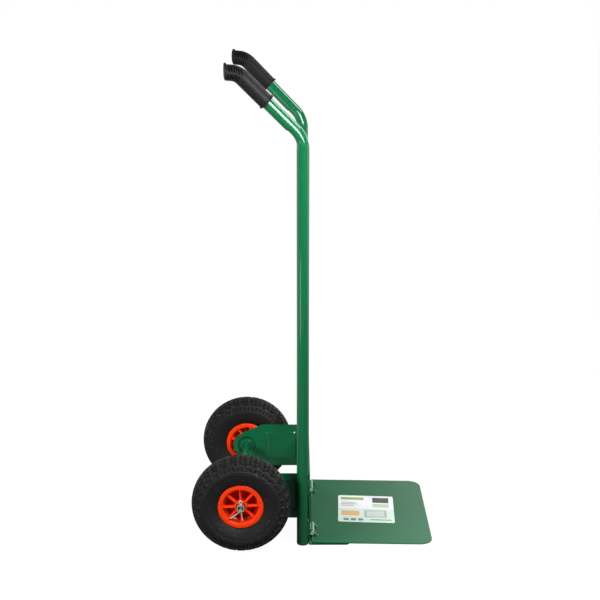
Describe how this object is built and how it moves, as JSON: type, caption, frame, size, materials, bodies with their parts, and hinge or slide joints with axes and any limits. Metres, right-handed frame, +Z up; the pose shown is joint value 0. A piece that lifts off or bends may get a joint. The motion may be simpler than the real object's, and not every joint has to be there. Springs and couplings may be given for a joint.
{
  "type": "hand truck",
  "caption": "Upright two-wheel hand truck: bent tube frame with rubber grips, pneumatic wheels on pressed brackets, and a large toe plate that folds up on hinges.",
  "frame": {"origin": "on the floor, at the middle of the truck's outline seen from above", "axes": "+X forwards over the toe plate, +Y to the truck's left, +Z up"},
  "size_m": [0.6398, 0.522, 1.2682],
  "materials": {
    "green_paint": "glossy green powder coat on steel",
    "zinc_plate": "bright zinc plate",
    "grip_rubber": "satin black moulded rubber",
    "tyre_rubber": "matt black tyre rubber",
    "tube_rubber": "matt black rubber",
    "rim_plastic": "satin orange-red moulded plastic",
    "bush_nylon": "black nylon",
    "valve_brass": "dull brass",
    "cap_plastic": "black plastic"
  },
  "bodies": {
    "frame": {"upper_cross_tube": "green_paint", "middle_cross_tube": "green_paint", "lower_cross_tube": "green_paint", "toe_base": "green_paint", "axle_tube": "green_paint", "left_upright": "green_paint", "left_wheel_bracket": "green_paint", "left_hinge_barrel": "green_paint", "left_axle_spacer": "zinc_plate", "left_split_pin": "zinc_plate", "left_grip": "grip_rubber", "right_upright": "green_paint", "right_wheel_bracket": "green_paint", "right_hinge_barrel": "green_paint", "right_axle_spacer": "zinc_plate", "right_split_pin": "zinc_plate", "right_grip": "grip_rubber"},
    "folding_toe": {"toe_plate": "green_paint", "left_hinge_lugs": "green_paint", "left_hinge_pin": "zinc_plate", "right_hinge_lugs": "green_paint", "right_hinge_pin": "zinc_plate"},
    "left_wheel": {"left_tyre": "tyre_rubber", "left_inner_tube": "tube_rubber", "left_rim": "rim_plastic", "left_outer_bush": "bush_nylon", "left_inner_bush": "bush_nylon", "left_valve_stem": "valve_brass", "left_valve_cap": "cap_plastic"},
    "right_wheel": {"right_tyre": "tyre_rubber", "right_inner_tube": "tube_rubber", "right_rim": "rim_plastic", "right_outer_bush": "bush_nylon", "right_inner_bush": "bush_nylon", "right_valve_stem": "valve_brass", "right_valve_cap": "cap_plastic"}
  },
  "joints": [
    {"name": "left_wheel_spin", "type": "hinge", "parent": "frame", "child": "left_wheel", "pos_m": [-0.19, 0.221, 0.13], "axis": [0, 1, 0], "continuous": true},
    {"name": "right_wheel_spin", "type": "hinge", "parent": "frame", "child": "right_wheel", "pos_m": [-0.19, -0.221, 0.13], "axis": [0, 1, 0], "continuous": true},
    {"name": "toe_fold", "type": "hinge", "parent": "frame", "child": "folding_toe", "pos_m": [-0.0025, 0, 0.0165], "axis": [0, -1, 0], "range_deg": [0, 94]}
  ]
}
